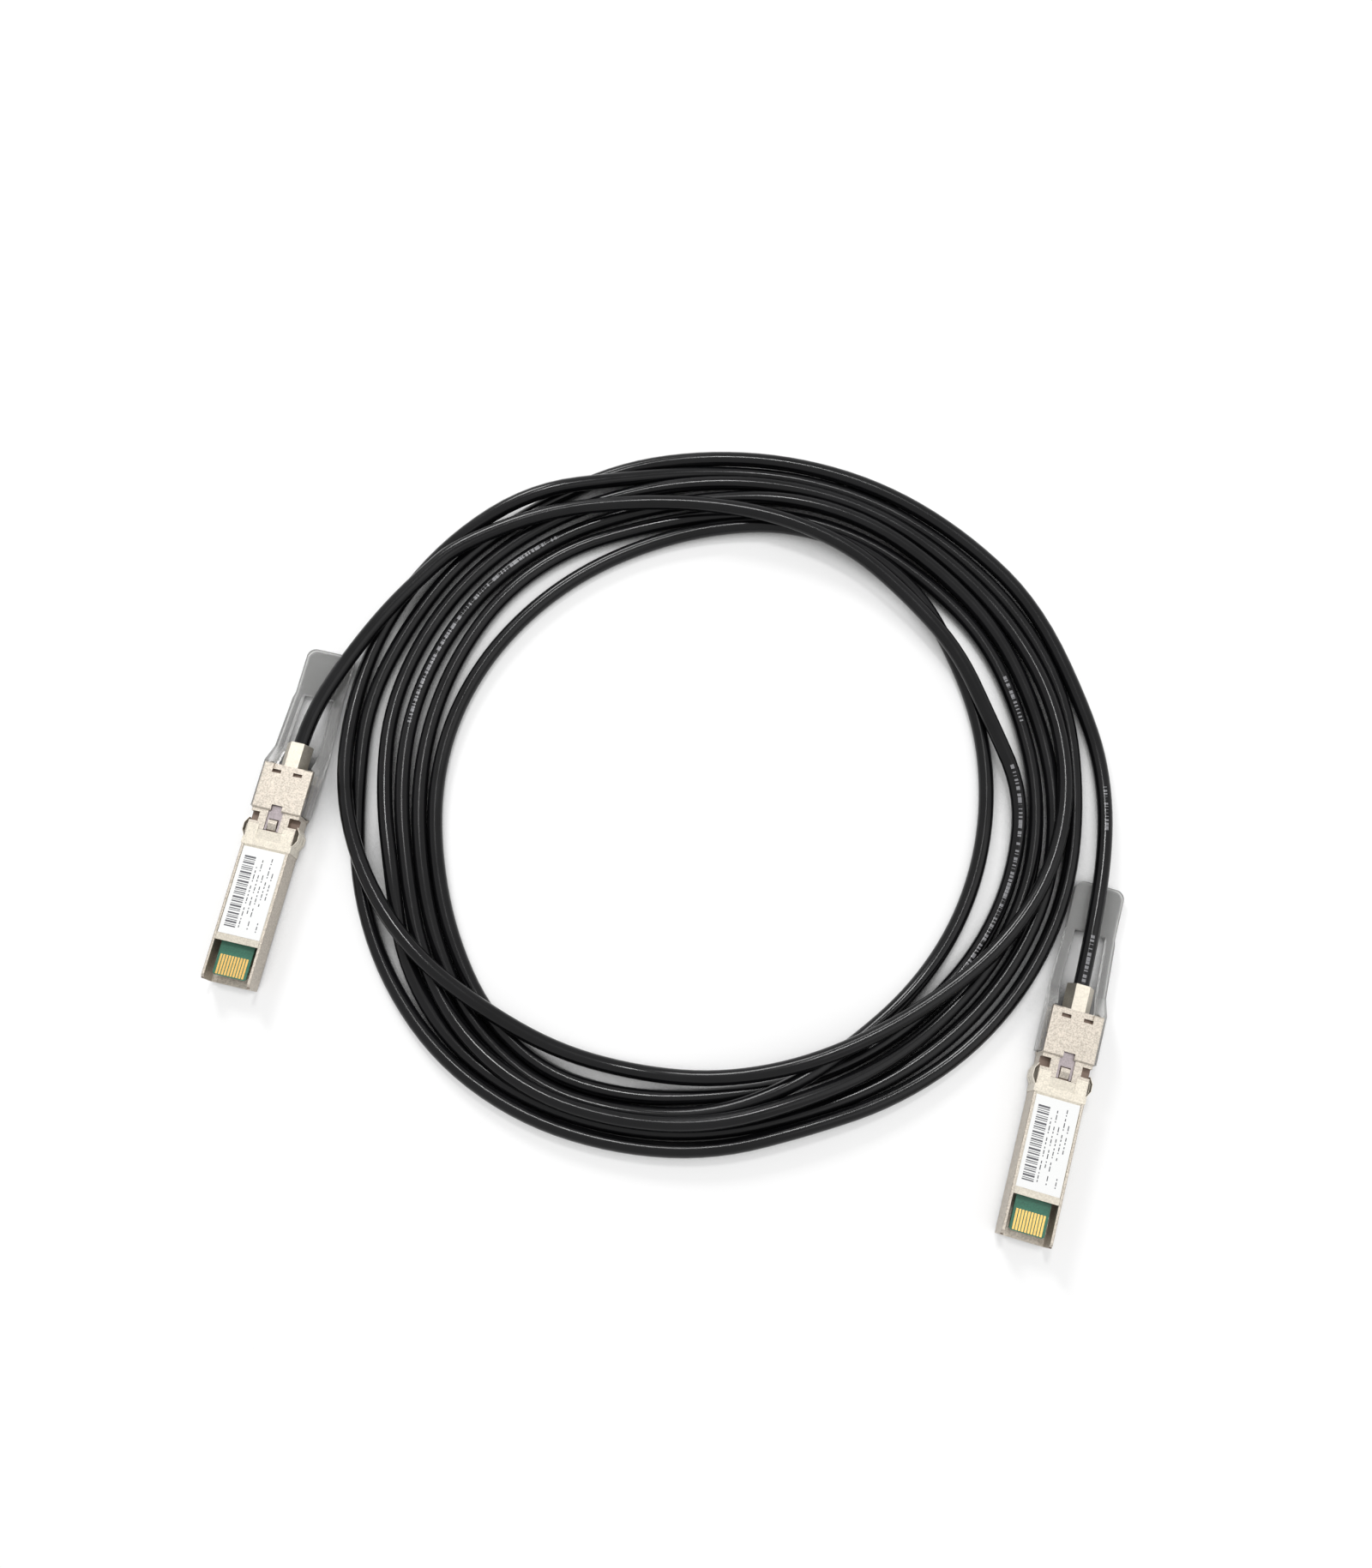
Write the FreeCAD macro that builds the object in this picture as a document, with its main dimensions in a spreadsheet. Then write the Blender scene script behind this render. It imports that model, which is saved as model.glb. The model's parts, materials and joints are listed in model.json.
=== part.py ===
"""Direct attach copper cable: two small pluggable network plugs joined by a coiled twin-axial cable.

Each plug is drawn once in its own axes and placed twice: X runs from the open nose (0) towards the
cable, Y across, Z up from the face it lies on to the face with the label and the latch boss.
Lengths are in millimetres and every size is a cell of the sheet "Sizes".
"""
import FreeCAD, Part
import math
import os
import re
import Sketcher

Vector = FreeCAD.Vector
doc = FreeCAD.newDocument("CopperCable")

# ---------------------------------------------------------------- driving sizes
SIZES = [
    # where the two plugs lie: bearing of the pull tab's end from the coil's centre, its distance
    # from the coil's rim, and the turn of the plug's length axis from +X
    ("left_bearing_angle", 159.035), ("left_gap", 12.966), ("left_turn_angle", 76.9),
    ("right_bearing_angle", -13.711), ("right_gap", 8.178), ("right_turn_angle", 73.9),
    # housing
    ("body_width", 13.4), ("body_height", 8.5), ("shoulder", 47.5), ("head_width", 13.7),
    ("head_length", 13.0), ("head_proud", 0.6), ("side_wall", 0.75), ("floor_wall", 0.8),
    ("nose_chamfer", 1.1), ("floor_chamfer", 0.5), ("edge_round", 0.4), ("long_round", 0.3),
    ("mouth_length", 10.8),
    ("shelf_back", 5.5), ("shelf_wall", 0.8), ("throat_length", 5.0), ("throat_width", 6.8),
    ("ledge_start", 11.6), ("ledge_width", 2.0), ("fit_gap", 0.05),
    ("slot_back", 2.6), ("slot_length", 1.1), ("slot_inner", 1.7), ("slot_outer", 4.2),
    ("slot_depth", 1.8), ("rear_step", 0.8), ("roof_notch_length", 1.7), ("roof_notch_width", 3.0),
    ("corner_back", 3.5), ("corner_length", 2.6), ("corner_inner", 4.2), ("corner_depth", 2.2),
    # latch boss on the housing
    ("boss_set", 0.4), ("boss_length", 2.6), ("boss_width", 2.4), ("boss_height", 0.45),
    ("boss_land", 1.0), ("boss_ramp_drop", 0.35),
    # latch cover
    ("cover_gauge", 1.0), ("rib_inner", 3.9), ("rib_width", 0.6), ("rib_start", 13.0),
    ("rib_end", 35.0), ("label_sink", 0.2),
    # label
    ("label_start", 12.7), ("label_back", 5.3), ("label_side", 0.2), ("label_gauge", 0.12),
    ("label_margin", 0.3),
    # ground spring
    ("band_back", 4.7), ("band_length", 2.0), ("spring_gauge", 0.15), ("finger_length", 5.4),
    ("finger_slope", 1.7), ("floor_rise", 0.4), ("side_rise", 0.95), ("floor_fingers", 5),
    ("floor_spacing", 2.5), ("floor_finger_width", 2.1), ("side_fingers", 3), ("side_spacing", 2.6),
    ("side_finger_width", 2.2), ("cheek_inner", 3.4), ("cheek_length", 3.9), ("cheek_margin", 0.3),
    # circuit card
    ("card_width", 9.2), ("card_gauge", 1.0), ("card_depth", 2.25), ("card_recess", 1.8),
    ("card_length", 34.4), ("card_shoulder", 11.8), ("card_chamfer", 0.5),
    ("pad_inset", 0.25), ("pad_length", 5.4), ("pad_width", 0.55), ("pad_spacing", 0.8),
    ("pad_count", 10), ("pad_gauge", 0.05),
    ("chip_start", 18.0), ("chip_length", 4.9), ("chip_width", 3.9), ("chip_height", 1.5),
    ("capacitor_start", 13.2), ("capacitor_length", 1.0), ("capacitor_width", 0.5),
    ("capacitor_height", 0.5), ("capacitor_spacing", 1.5), ("capacitor_count", 4),
    # wire pairs
    ("pair_gauge", 1.0), ("pair_width", 2.0), ("solder_length", 2.4), ("pair_slope", 7.0),
    ("pair_straight", 5.5), ("pair_part", 0.15), ("core_diameter", 0.3), ("core_spacing", 1.0),
    ("core_length", 2.6),
    # cable entry
    ("cable_diameter", 4.2), ("jacket_set", 4.5), ("left_lead", 15.5), ("right_lead", 18.5),
    ("bore_gap", 0.05), ("barrel_wall", 0.5),
    ("barrel_length", 5.4), ("ferrule_flats", 6.4), ("ferrule_length", 7.2), ("crimp_gap", 0.02),
    # delatch slide
    ("slide_gauge", 0.6), ("slide_travel", 2.4), ("tine_gap", 0.2), ("tine_width", 0.6),
    ("tine_set", 0.2), ("tongue_gap", 0.4), ("wing_set", 0.7),
    ("wing_length", 2.0), ("wing_width", 12.6), ("leg_low", 3.2), ("leg_high", 6.2),
    ("leg_length", 9.3), ("lug_reach", 1.8), ("lug_low", 3.95), ("lug_high", 5.75),
    ("recess_low", 2.0), ("recess_lip", 0.4), ("spring_pocket_length", 8.7),
    # return springs
    ("coil_diameter", 1.5), ("coil_wire", 0.3), ("coil_turns", 6),
    # pull tab
    ("arm_set", 0.6), ("arm_thickness", 1.55), ("arm_low", 2.4), ("arm_high", 7.4),
    ("tab_low", 0.3), ("tab_bend_set", 0.9), ("tab_bend_length", 5.1), ("tab_arm_top", 3.1),
    ("tab_length", 36.0), ("plate_length", 13.5), ("plate_top", 2.1), ("tab_width", 13.4),
    ("window_front_width", 10.8), ("window_back_width", 8.8), ("tab_corner", 2.5),
    ("tab_clear", 0.4),
    # coiled cable
    ("coil_x", 11.45), ("coil_y", 39.32), ("coil_inner", 74.5), ("coil_outer", 101.2),
    ("coil_height", 8.4), ("coil_round", 2.0),
]

# places along the plug that follow the shoulder and the head
PLACES = [
    ("shelf_start", "shoulder - shelf_back"), ("boss_start", "shelf_start + boss_set"),
    ("tine_start", "shelf_start + tine_set"), ("band_start", "shelf_start - band_back"),
    ("label_length", "shelf_start - label_back - label_start"),
    ("wing_start", "shoulder + wing_set"), ("leg_end", "wing_start + leg_length"),
    ("arm_start", "shoulder + arm_set"), ("head_end", "shoulder + head_length"),
    ("slot_start", "head_end - slot_back"), ("tab_bend_start", "head_end + tab_bend_set"),
    ("tab_bend_end", "tab_bend_start + tab_bend_length"), ("tab_end", "head_end + tab_length"),
    ("jacket_start", "shoulder + jacket_set"), ("pair_bend_back", "jacket_start - pair_straight"),
    ("pair_bend_front", "pair_bend_back - pair_slope"),
]

sheet = doc.addObject("Spreadsheet::Sheet", "Sizes")
for row, (alias, value) in enumerate(SIZES + PLACES, start=1):
    sheet.set("A%d" % row, alias)
    sheet.set("B%d" % row, "=" + value if isinstance(value, str) else str(value))
    sheet.setAlias("B%d" % row, alias)
doc.recompute()

NAMES = re.compile(r"\b(%s)\b" % "|".join(sorted(dict(SIZES + PLACES), key=len, reverse=True)))


def size(alias):
    """The number in a named cell."""
    return float(sheet.get(alias))


def linked(text):
    """An expression written with plain size names, as FreeCAD wants it."""
    return NAMES.sub(r"Sizes.\1", text)


# levels and lines that several pieces share, written with the names above
BODY_FLOOR = "head_proud"
BODY_TOP = "(head_proud + body_height)"
HEAD_TOP = "(2 * head_proud + body_height)"
SHELF_TOP = "(head_proud + body_height - cover_gauge)"
AXIS = "(head_proud + body_height / 2)"
CARD_TOP = "(head_proud + body_height - card_depth)"
CARD_BOTTOM = "(head_proud + body_height - card_depth - card_gauge)"
PAIR_END = "(card_recess + card_length - solder_length)"
HALF_BODY = "(body_width / 2)"
HALF_INSIDE = "(body_width / 2 - side_wall)"
BORE = "(cable_diameter + 2 * bore_gap)"
BARREL = "(cable_diameter + 2 * bore_gap + 2 * barrel_wall)"
SLIDE_BOTTOM = "(head_proud + body_height - cover_gauge + fit_gap)"
TINE_OUTER = "(boss_width / 2 + tine_gap + tine_width)"
LEG_OUTER = "(wing_width / 2)"
LEG_INNER = "(wing_width / 2 - slide_gauge)"
POCKET_START = "(wing_start + wing_length - slide_gauge - fit_gap)"


# ---------------------------------------------------------------- drawing helpers
def new_body(name, many_solids=False):
    """A part body whose label is also its file's name."""
    body = doc.addObject("PartDesign::Body", name)
    body.Label = name
    body.AllowCompound = many_solids
    return body


def new_sketch(body, plane, offset="0"):
    """A sketch on one of the body's own planes, moved along the plane's normal."""
    drawing = body.newObject("Sketcher::SketchObject", body.Name + "_sketch")
    support = [f for f in body.Origin.OriginFeatures if f.Role == plane + "_Plane"][0]
    drawing.AttachmentSupport = [(support, "")]
    drawing.MapMode = "FlatFace"
    drawing.setExpression(".AttachmentOffset.Base.z", linked(offset))
    return drawing


def pin_point(drawing, edge, end, across, up, start):
    """Tie one end of an edge to a pair of expressions."""
    for kind, text, value in (("DistanceX", across, start[0]), ("DistanceY", up, start[1])):
        index = drawing.addConstraint(Sketcher.Constraint(kind, -1, 1, edge, end, value))
        name = "%s_%d" % (kind, index)
        drawing.renameConstraint(index, name)
        drawing.setExpression("Constraints." + name, linked(text))


def draw_polygon(drawing, corners):
    """A closed outline whose corners are pairs of expressions."""
    count = len(corners)
    first = len(drawing.Geometry)
    reach = size("body_width")
    ring = [Vector(reach * math.cos(2 * math.pi * i / count), reach * math.sin(2 * math.pi * i / count), 0)
            for i in range(count)]
    for i in range(count):
        drawing.addGeometry(Part.LineSegment(ring[i], ring[(i + 1) % count]), False)
    for i in range(count):
        drawing.addConstraint(
            Sketcher.Constraint("Coincident", first + i, 2, first + (i + 1) % count, 1))
    for i, (across, up) in enumerate(corners):
        pin_point(drawing, first + i, 1, across, up, (ring[i].x, ring[i].y))


def draw_circle(drawing, across, up, diameter):
    """A circle about a point given by expressions."""
    edge = drawing.addGeometry(Part.Circle(Vector(1, 1, 0), Vector(0, 0, 1), 2), False)
    pin_point(drawing, edge, 3, across, up, (1.0, 1.0))
    index = drawing.addConstraint(Sketcher.Constraint("Diameter", edge, 4.0))
    drawing.renameConstraint(index, "diameter_%d" % index)
    drawing.setExpression("Constraints.diameter_%d" % index, linked(diameter))


def box_corners(low_across, low_up, high_across, high_up):
    """The four corners of an upright rectangle."""
    return [(low_across, low_up), (high_across, low_up), (high_across, high_up), (low_across, high_up)]


def mirrored(corners, flip):
    """The same outline on the other side: flip is 0 to turn over across, 1 to turn over up."""
    turned = [("-(%s)" % a, u) if flip == 0 else (a, "-(%s)" % u) for a, u in corners]
    return turned[::-1]


def extrude(body, kind, drawing, length, both_ways=False, reverse=False):
    """Pad or pocket a sketch."""
    feature = body.newObject("PartDesign::" + kind, body.Name + "_" + kind.lower())
    feature.Profile = drawing
    feature.setExpression("Length", linked(length))
    feature.Midplane = both_ways
    feature.Reversed = reverse
    body.Tip = feature
    doc.recompute()
    return feature


def add(body, plane, outlines, length, offset="0", **options):
    """Pad closed outlines drawn on a plane."""
    drawing = new_sketch(body, plane, offset)
    for outline in outlines:
        draw_polygon(drawing, outline)
    return extrude(body, "Pad", drawing, length, **options)


def cut(body, plane, outlines, length, offset="0", **options):
    """Pocket closed outlines drawn on a plane, and make sure that something was removed."""
    before = body.Shape.Volume
    drawing = new_sketch(body, plane, offset)
    for outline in outlines:
        draw_polygon(drawing, outline)
    pocket = extrude(body, "Pocket", drawing, length, **options)
    if body.Shape.Volume >= before - 1e-6:
        raise RuntimeError("a pocket of %s removed nothing" % body.Name)
    return pocket


def repeat(body, feature, axis, pitch, count):
    """A row of copies of one feature along an axis of the body."""
    pattern = body.newObject("PartDesign::LinearPattern", body.Name + "_row")
    pattern.Originals = [feature]
    direction = [f for f in body.Origin.OriginFeatures if f.Role == axis + "_Axis"][0]
    pattern.Direction = (direction, [""])
    pattern.setExpression("Length", linked("%s * (%s - 1)" % (pitch, count)))
    pattern.setExpression("Occurrences", linked(count))
    body.Tip = pattern
    doc.recompute()
    return pattern


def round_edges(body, chosen, radius):
    """Fillet the edges that a test picks."""
    names = ["Edge%d" % (i + 1) for i, edge in enumerate(body.Shape.Edges) if chosen(edge)]
    carrier = body.Tip
    fillet = body.newObject("PartDesign::Fillet", body.Name + "_fillet")
    fillet.Base = (carrier, names)
    fillet.setExpression("Radius", linked(radius))
    body.Tip = fillet
    doc.recompute()


def runs_along_x(edge):
    """True for an edge parallel to the plug's length."""
    return edge.BoundBox.YLength < 0.001 and edge.BoundBox.ZLength < 0.001


# ---------------------------------------------------------------- the plug's pieces
def make_shell(name):
    """Die-cast housing: open-nosed tub, thick head, latch boss and crimp barrel in one casting."""
    body = new_body(name)
    add(body, "XZ", [[
        ("floor_chamfer", BODY_FLOOR), ("shoulder + edge_round", BODY_FLOOR),
        ("shoulder + edge_round", BODY_TOP), ("nose_chamfer", BODY_TOP),
        ("0", BODY_TOP + " - nose_chamfer"), ("0", BODY_FLOOR + " + floor_chamfer")]],
        "body_width", both_ways=True)
    add(body, "XZ", [[
        ("shoulder", "edge_round"), ("shoulder + edge_round", "0"),
        ("head_end - edge_round", "0"), ("head_end", "edge_round"),
        ("head_end", HEAD_TOP + " - edge_round"), ("head_end - edge_round", HEAD_TOP),
        ("shoulder + edge_round", HEAD_TOP), ("shoulder", HEAD_TOP + " - edge_round")]],
        "head_width", both_ways=True)
    round_edges(body, lambda e: runs_along_x(e) and e.Length > size("head_length") / 2, "long_round")
    # crimp barrel behind the head
    drawing = new_sketch(body, "YZ", "head_end")
    draw_circle(drawing, "0", AXIS, BARREL)
    extrude(body, "Pad", drawing, "barrel_length")
    # hollow of the tub, open at the nose
    cut(body, "XY", [box_corners("-side_wall", "-" + HALF_INSIDE, "shelf_start", HALF_INSIDE)],
        "body_height - floor_wall", offset=BODY_TOP)
    # ledges that carry the card
    ledge = box_corners("ledge_start", HALF_INSIDE + " - ledge_width", "shelf_start + edge_round",
                        HALF_INSIDE + " + side_wall / 2")
    add(body, "XY", [ledge, mirrored(ledge, 1)],
        "body_height - card_depth - card_gauge - floor_wall + floor_wall / 2",
        offset=BODY_FLOOR + " + floor_wall / 2")
    # throat below the shelf, where the wire pairs spread to both faces of the card
    cut(body, "YZ", [box_corners("-throat_width / 2", BODY_FLOOR + " + floor_wall",
                                 "throat_width / 2", SHELF_TOP + " - shelf_wall")],
        "throat_length", offset="shelf_start", reverse=True)
    # bore for the cable
    drawing = new_sketch(body, "YZ", "head_end + barrel_length")
    draw_circle(drawing, "0", AXIS, BORE)
    extrude(body, "Pocket", drawing, "barrel_length + head_end - shelf_start - throat_length / 2")
    # groove in which the slide runs: narrow beside the boss, full width under the head's roof
    groove_end = "(wing_start + wing_length + slide_travel + tab_clear)"
    groove_half = "(%s + fit_gap)" % TINE_OUTER
    cut(body, "XY", [[
        ("shelf_start - side_wall", "-" + groove_half), ("shoulder + edge_round", "-" + groove_half),
        ("shoulder + edge_round", "-head_width"), (groove_end, "-head_width"),
        (groove_end, "head_width"), ("shoulder + edge_round", "head_width"),
        ("shoulder + edge_round", groove_half), ("shelf_start - side_wall", groove_half)]],
        "cover_gauge", offset=BODY_TOP)
    # notch in the roof's front edge over the groove
    cut(body, "XY", [box_corners("shoulder - edge_round", "-roof_notch_width / 2",
                                 "shoulder + roof_notch_length", "roof_notch_width / 2")],
        "head_proud + fit_gap", offset=HEAD_TOP)
    # cut-outs in both upper corners in front of the head
    corner_start = "shoulder - corner_back"
    corner = box_corners(corner_start, "corner_inner", corner_start + " + corner_length", "body_width")
    cut(body, "XY", [corner, mirrored(corner, 1)], "corner_depth", offset=BODY_TOP)
    # side recesses for the slide's legs and the tab's arms
    recess = box_corners(LEG_INNER + " - fit_gap", "recess_low", "head_width", SHELF_TOP)
    cut(body, "YZ", [recess, mirrored(recess, 0)],
        "head_length - recess_lip", offset="head_end")
    # pockets for the return springs
    pocket = box_corners(LEG_INNER + " - lug_reach - fit_gap", "lug_low - fit_gap",
                         LEG_INNER, "lug_high + fit_gap")
    cut(body, "YZ", [pocket, mirrored(pocket, 0)],
        "spring_pocket_length", offset=POCKET_START, reverse=True)
    # two short slots across the roof, and the lower step behind them
    slot = box_corners("slot_start", "slot_inner", "slot_start + slot_length", "slot_outer")
    cut(body, "XY", [slot, mirrored(slot, 1)], "slot_depth", offset=HEAD_TOP)
    cut(body, "XY", [box_corners("slot_start + slot_length", "-slot_outer",
                                 "head_end + edge_round", "slot_outer")],
        "rear_step", offset=HEAD_TOP)
    # latch boss: a ramp towards the nose and an upright face towards the cable
    add(body, "XZ", [[
        ("boss_start", SHELF_TOP + " - shelf_wall / 2"),
        ("boss_start + boss_length", SHELF_TOP + " - shelf_wall / 2"),
        ("boss_start + boss_length", BODY_TOP + " + boss_height"),
        ("boss_start + boss_length - boss_land", BODY_TOP + " + boss_height"),
        ("boss_start", BODY_TOP + " - boss_ramp_drop")]],
        "boss_width", both_ways=True)
    return body


def make_latch_cover(name):
    """Plate between the side walls, with two ribs that hold the card down and a sunk label place."""
    body = new_body(name)
    half = HALF_INSIDE + " - fit_gap"
    add(body, "XY", [box_corners("mouth_length", "-(%s)" % half, "shelf_start - fit_gap", half)],
        "cover_gauge", offset=SHELF_TOP)
    rib = box_corners("rib_start", "rib_inner", "rib_end", "rib_inner + rib_width")
    add(body, "XY", [rib, mirrored(rib, 1)],
        "card_depth - cover_gauge / 2", offset=CARD_TOP)
    cut(body, "XY", [box_corners("label_start - label_margin", "-body_width",
                                 "label_start + label_length + label_margin", "body_width")],
        "label_sink", offset=BODY_TOP)
    return body


def make_label(name):
    """Adhesive label in the cover's sunk place."""
    body = new_body(name)
    half = "(%s - label_side)" % HALF_INSIDE
    add(body, "XY", [box_corners("label_start", "-" + half, "label_start + label_length", half)],
        "label_gauge", offset=BODY_TOP + " - label_sink")
    return body


def finger_strip(root, rise, outward):
    """Side view of one bent contact finger: it leaves the band, stands off, and comes back."""
    start = "(band_start + band_length)"
    end = "(band_start + band_length + finger_length)"
    sign = "+" if outward > 0 else "-"
    near = [(start, root), (start + " + finger_slope", "%s %s %s" % (root, sign, rise)),
            (end + " - finger_slope", "%s %s %s" % (root, sign, rise)), (end, root)]
    far = [(across, "%s %s spring_gauge" % (up, sign)) for across, up in near]
    return near + far[::-1]


def make_ground_spring(name):
    """Thin sheet collar round the housing, with fingers that press on the cage it plugs into."""
    body = new_body(name)
    drawing = new_sketch(body, "YZ", "band_start")
    for margin in ("spring_gauge", "0"):
        draw_polygon(drawing, box_corners(
            "-(%s + %s)" % (HALF_BODY, margin), "%s - %s" % (BODY_FLOOR, margin),
            "%s + %s" % (HALF_BODY, margin), "%s + %s" % (BODY_TOP, margin)))
    extrude(body, "Pad", drawing, "band_length")
    # fingers below, in a row across the plug
    first = "floor_spacing * (floor_fingers - 1) / 2 - floor_finger_width / 2"
    finger = add(body, "XZ", [finger_strip(BODY_FLOOR, "floor_rise", -1)],
                 "floor_finger_width", offset=first)
    repeat(body, finger, "Y", "floor_spacing", "floor_fingers")
    # fingers on both side walls, in a row up the plug
    side = finger_strip(HALF_BODY, "side_rise", 1)
    finger = add(body, "XY", [side, mirrored(side, 1)], "side_finger_width",
                 offset=AXIS + " - side_spacing * (side_fingers - 1) / 2 - side_finger_width / 2")
    repeat(body, finger, "Z", "side_spacing", "side_fingers")
    # flat cheeks either side of the latch boss
    start = "band_start + band_length"
    cheek = box_corners(start, "cheek_inner", start + " + cheek_length", HALF_BODY + " - cheek_margin")
    add(body, "XY", [cheek, mirrored(cheek, 1)], "spring_gauge", offset=BODY_TOP)
    return body


def make_paddle_card(name):
    """Circuit card: narrow contact end, wide rear that sits on the ledges."""
    body = new_body(name)
    half_rear = HALF_INSIDE + " - fit_gap"
    half_front = "card_width / 2"
    end = "card_recess + card_length"
    side = [("card_recess", half_front + " - card_chamfer"),
            ("card_recess + card_chamfer", half_front),
            ("card_shoulder", half_front), ("card_shoulder", half_rear), (end, half_rear)]
    other = [(across, "-(%s)" % up) for across, up in side]
    add(body, "XY", [side + other[::-1]], "card_gauge", offset=CARD_BOTTOM)
    return body


def make_contact_pads(name):
    """Plated contacts, one row on each face of the card's end."""
    body = new_body(name, many_solids=True)
    low = "-(pad_spacing * (pad_count - 1) + pad_width) / 2"
    pad = box_corners("card_recess + pad_inset", low, "card_recess + pad_inset + pad_length",
                      low + " + pad_width")
    for offset, reverse in ((CARD_TOP, False), (CARD_BOTTOM, True)):
        row = add(body, "XY", [pad], "pad_gauge", offset=offset, reverse=reverse)
        repeat(body, row, "Y", "pad_spacing", "pad_count")
    return body


def make_memory_chip(name):
    """Small memory soldered under the card."""
    body = new_body(name)
    add(body, "XY", [box_corners("chip_start", "-chip_width / 2",
                                 "chip_start + chip_length", "chip_width / 2")],
        "chip_height", offset=CARD_BOTTOM, reverse=True)
    return body


def make_capacitors(name):
    """Row of coupling capacitors on the card's upper face."""
    body = new_body(name, many_solids=True)
    low = "-(capacitor_spacing * (capacitor_count - 1) + capacitor_width) / 2"
    row = add(body, "XY", [box_corners("capacitor_start", low, "capacitor_start + capacitor_length",
                                       low + " + capacitor_width")],
              "capacitor_height", offset=CARD_TOP)
    repeat(body, row, "Y", "capacitor_spacing", "capacitor_count")
    return body


def make_wire_pair(name, above):
    """Foil-wrapped pair, bent from the cable's end to one face of the card."""
    body = new_body(name)
    sign = "+" if above else "-"
    card_face = CARD_TOP if above else CARD_BOTTOM
    middle = "(%s %s pair_part)" % (AXIS, sign)
    near = [("jacket_start", middle), ("pair_bend_back", middle),
            ("pair_bend_front", card_face), (PAIR_END, card_face)]
    far = [(across, "%s %s pair_gauge" % (up, sign)) for across, up in near]
    add(body, "XZ", [near + far[::-1]], "pair_width", both_ways=True)
    return body


def make_conductor_ends(name):
    """Bare wire ends on the solder places of both card faces."""
    body = new_body(name, many_solids=True)
    drawing = new_sketch(body, "YZ", PAIR_END)
    for across in ("-core_spacing / 2", "core_spacing / 2"):
        draw_circle(drawing, across, CARD_TOP + " + core_diameter / 2", "core_diameter")
        draw_circle(drawing, across, CARD_BOTTOM + " - core_diameter / 2", "core_diameter")
    extrude(body, "Pad", drawing, "core_length", reverse=True)
    return body


def make_crimp_ferrule(name):
    """Hexagonal crimp sleeve: wide bore over the barrel, tight bore over the cable."""
    body = new_body(name)
    corner = "ferrule_flats / sqrt(3)"
    hexagon = [(corner, AXIS), (corner + " / 2", AXIS + " + ferrule_flats / 2"),
               ("-%s / 2" % corner, AXIS + " + ferrule_flats / 2"), ("-" + corner, AXIS),
               ("-%s / 2" % corner, AXIS + " - ferrule_flats / 2"),
               (corner + " / 2", AXIS + " - ferrule_flats / 2")]
    for offset, bore, length in (
            ("head_end", BARREL + " + 2 * crimp_gap", "barrel_length + crimp_gap"),
            ("head_end + barrel_length + crimp_gap", "cable_diameter + 2 * crimp_gap",
             "ferrule_length - barrel_length - crimp_gap")):
        drawing = new_sketch(body, "YZ", offset)
        draw_polygon(drawing, hexagon)
        draw_circle(drawing, "0", AXIS, bore)
        extrude(body, "Pad", drawing, length)
    return body


def make_delatch_slide(name):
    """Bent sheet yoke: tines beside the boss, wings under the roof, legs down both sides."""
    body = new_body(name)
    tine_inner = "(boss_width / 2 + tine_gap)"
    tongue_start = "(boss_start + boss_length + tongue_gap)"
    wing_end = "(wing_start + wing_length)"
    side = [(tongue_start, tine_inner), ("tine_start", tine_inner), ("tine_start", TINE_OUTER),
            ("wing_start", TINE_OUTER), ("wing_start", LEG_OUTER), (wing_end, LEG_OUTER)]
    other = [(across, "-" + up) for across, up in side]
    add(body, "XY", [side + other[::-1]], "slide_gauge", offset=SLIDE_BOTTOM)
    leg = [("wing_start", "leg_low"), ("leg_end", "leg_low"), ("leg_end", "leg_high"),
           (wing_end, "leg_high"), (wing_end, SLIDE_BOTTOM + " + slide_gauge"),
           ("wing_start", SLIDE_BOTTOM + " + slide_gauge")]
    for offset in ("-" + LEG_OUTER, LEG_INNER):
        add(body, "XZ", [leg], "slide_gauge", offset=offset)
    lug = box_corners(LEG_INNER + " - lug_reach", "lug_low", LEG_INNER + " + fit_gap", "lug_high")
    add(body, "YZ", [lug, mirrored(lug, 0)], "slide_gauge", offset=wing_end + " - slide_gauge")
    return body


def make_pull_tab(name):
    """Moulded loop: two arms beside the head that drop behind it to a flat end plate."""
    body = new_body(name)
    outer = "(wing_width / 2 + arm_thickness)"
    plate_start = "(tab_end - plate_length)"
    behind = "(head_end + tab_clear)"
    side = [("arm_start", LEG_OUTER), ("arm_start", outer), (behind, outer),
            (plate_start, "tab_width / 2"), ("tab_end", "tab_width / 2")]
    inner = [(plate_start, "-window_back_width / 2"), (plate_start, "window_back_width / 2"),
             (behind + " + tab_clear", "window_front_width / 2"), (behind, LEG_OUTER)]
    other = [(across, "-" + up) for across, up in side]
    outline = side + other[::-1]
    outline += [(behind, "-" + LEG_OUTER), (behind + " + tab_clear", "-window_front_width / 2")]
    add(body, "XY", [outline + inner], "arm_high - tab_low", offset="tab_low")
    over = "(arm_high + 1)"
    under = "(tab_low - 1)"
    cut(body, "XZ", [
        [("tab_bend_start", over), ("tab_bend_start", "arm_high"), ("tab_bend_end", "tab_arm_top"),
         (plate_start + " - 2 * (tab_arm_top - plate_top)", "tab_arm_top"), (plate_start, "plate_top"),
         ("tab_end + plate_top", "plate_top"), ("tab_end + plate_top", over)],
        [("arm_start - tab_clear", under), ("tab_bend_end - tab_clear", under),
         ("tab_bend_end - tab_clear", "tab_low"), ("tab_bend_start - tab_clear", "arm_low"),
         ("arm_start - tab_clear", "arm_low")]],
        "2 * tab_width", both_ways=True)
    round_edges(body, lambda e: (e.BoundBox.XMin > size("tab_end") - 0.01 and e.BoundBox.YLength < 0.01
                                 and e.BoundBox.ZLength > 0.5), "tab_corner")
    return body


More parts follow.
